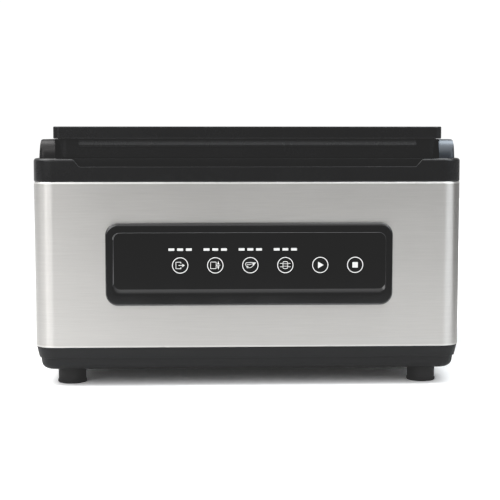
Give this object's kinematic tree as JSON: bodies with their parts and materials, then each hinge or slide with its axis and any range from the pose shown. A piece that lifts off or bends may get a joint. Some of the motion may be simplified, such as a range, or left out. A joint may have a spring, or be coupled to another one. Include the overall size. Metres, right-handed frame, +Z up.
{
  "type": "vacuum chamber sealer",
  "caption": "Tabletop vacuum chamber sealer: brushed steel body, front key panel, hinged lid with window, lifting heat-seal bar in a steel chamber.",
  "frame": {"origin": "on the floor, under the middle of the machine's outer box", "axes": "+Z up, -Y out of the control panel, +X to the right of a person facing the panel"},
  "size_m": [0.356, 0.335, 0.2165],
  "materials": {
    "housing_black": "satin moulded black",
    "base_black": "fine matte texture",
    "foot_rubber": "matte",
    "zinc_screw": "zinc plated",
    "shell_steel": "horizontal brushing",
    "rear_steel": "fine texture powder coat",
    "pin_steel": "ground",
    "tub_steel": "satin",
    "cap_nickel": "satin nickel",
    "cylinder_plastic": "natural nylon",
    "spring_steel": "drawn wire",
    "bar_aluminium": "extruded",
    "strip_alloy": "flat resistance wire",
    "tape_cloth": "coated glass cloth",
    "cap_black": "moulded",
    "pin_brass": "turned",
    "bezel_black": "polished",
    "overlay_black": "fine film",
    "light_white": "diffusing",
    "board_green": "solder mask",
    "switch_grey": "moulded",
    "window_smoke": "polished acrylic",
    "retainer_black": "moulded",
    "gasket_rubber": "soft",
    "backing_silicone": "silicone",
    "arm_steel": "black coated",
    "motor_grey": "cast and painted",
    "head_aluminium": "die cast",
    "rotor_steel": "turned",
    "plate_steel": "zinc plated sheet",
    "hose_rubber": "silicone hose",
    "core_steel": "varnished laminations",
    "coil_copper": "enamelled wire"
  },
  "bodies": {
    "base": {"base_pan": "base_black", "foot_front_left": "foot_rubber", "foot_front_right": "foot_rubber", "foot_rear_left": "foot_rubber", "foot_rear_right": "foot_rubber", "foot_screws": "zinc_screw", "outer_shell": "shell_steel", "rear_panel": "rear_steel", "rear_panel_screws": "zinc_screw", "top_housing": "housing_black", "side_rail_left": "housing_black", "side_rail_right": "housing_black", "hinge_pins": "pin_steel", "chamber_tub": "tub_steel", "suction_cap": "cap_nickel", "lift_cylinder_left": "cylinder_plastic", "lift_cylinder_right": "cylinder_plastic", "bar_springs": "spring_steel", "panel_bezel": "bezel_black", "panel_overlay": "overlay_black", "level_lights": "light_white", "control_board": "board_green", "key_switches": "switch_grey", "lid_springs": "spring_steel", "pump_motor": "motor_grey", "pump_heads": "head_aluminium", "pump_plate": "plate_steel", "pump_dampers": "foot_rubber", "valve_block": "head_aluminium", "vacuum_hoses": "hose_rubber", "transformer_core": "core_steel", "transformer_coils": "coil_copper", "power_board": "board_green", "fan_frame": "cap_black", "power_inlet": "cap_black", "switch_frame": "cap_black", "accessory_port": "cap_nickel"},
    "lid": {"lid_frame": "housing_black", "lid_window": "window_smoke", "lid_retainer": "retainer_black", "lid_gasket": "gasket_rubber", "backing_holder": "bar_aluminium", "backing_strip": "backing_silicone", "lid_screws": "zinc_screw", "hinge_arm_left": "arm_steel", "hinge_arm_right": "arm_steel"},
    "sealing_bar": {"seal_bar": "bar_aluminium", "heating_strip": "strip_alloy", "sealing_tape": "tape_cloth", "bar_end_caps": "cap_black", "lift_pins": "pin_brass"},
    "rocker": {"power_rocker": "cap_black"},
    "fan": {"fan_rotor": "cap_black"},
    "pump_shaft": {"pump_rotor": "rotor_steel"},
    "key_vacuum_level": {"key_vacuum_level": "overlay_black"},
    "key_seal_time": {"key_seal_time": "overlay_black"},
    "key_marinate": {"key_marinate": "overlay_black"},
    "key_canister": {"key_canister": "overlay_black"},
    "key_start": {"key_start": "overlay_black"},
    "key_stop": {"key_stop": "overlay_black"}
  },
  "joints": [
    {"name": "lid_hinge", "type": "hinge", "parent": "base", "child": "lid", "pos_m": [0, 0.149, 0.198], "axis": [-1, 0, 0], "range_deg": [0, 78]},
    {"name": "seal_bar_lift", "type": "slide", "parent": "base", "child": "sealing_bar", "axis": [0, 0, 1], "range_m": [0, 0.006], "stiffness_N_per_m": 700, "springref_m": -0.006, "deforming": ["bar_springs"]},
    {"name": "power_rocker_turn", "type": "hinge", "parent": "base", "child": "rocker", "pos_m": [0.112, 0.164, 0.104], "axis": [0, 0, -1], "range_deg": [0, 20]},
    {"name": "fan_spin", "type": "hinge", "parent": "base", "child": "fan", "pos_m": [-0.078, 0.157, 0.092], "axis": [0, 1, 0], "continuous": true},
    {"name": "pump_spin", "type": "hinge", "parent": "base", "child": "pump_shaft", "pos_m": [-0.045, 0.028, 0.066], "axis": [1, 0, 0], "continuous": true},
    {"name": "key_vacuum_level_press", "type": "slide", "parent": "base", "child": "key_vacuum_level", "axis": [0, 1, 0], "range_m": [0, 0.0005], "stiffness_N_per_m": 1500, "springref_m": -0.0004},
    {"name": "key_seal_time_press", "type": "slide", "parent": "base", "child": "key_seal_time", "axis": [0, 1, 0], "range_m": [0, 0.0005], "stiffness_N_per_m": 1500, "springref_m": -0.0004},
    {"name": "key_marinate_press", "type": "slide", "parent": "base", "child": "key_marinate", "axis": [0, 1, 0], "range_m": [0, 0.0005], "stiffness_N_per_m": 1500, "springref_m": -0.0004},
    {"name": "key_canister_press", "type": "slide", "parent": "base", "child": "key_canister", "axis": [0, 1, 0], "range_m": [0, 0.0005], "stiffness_N_per_m": 1500, "springref_m": -0.0004},
    {"name": "key_start_press", "type": "slide", "parent": "base", "child": "key_start", "axis": [0, 1, 0], "range_m": [0, 0.0005], "stiffness_N_per_m": 1500, "springref_m": -0.0004},
    {"name": "key_stop_press", "type": "slide", "parent": "base", "child": "key_stop", "axis": [0, 1, 0], "range_m": [0, 0.0005], "stiffness_N_per_m": 1500, "springref_m": -0.0004}
  ]
}
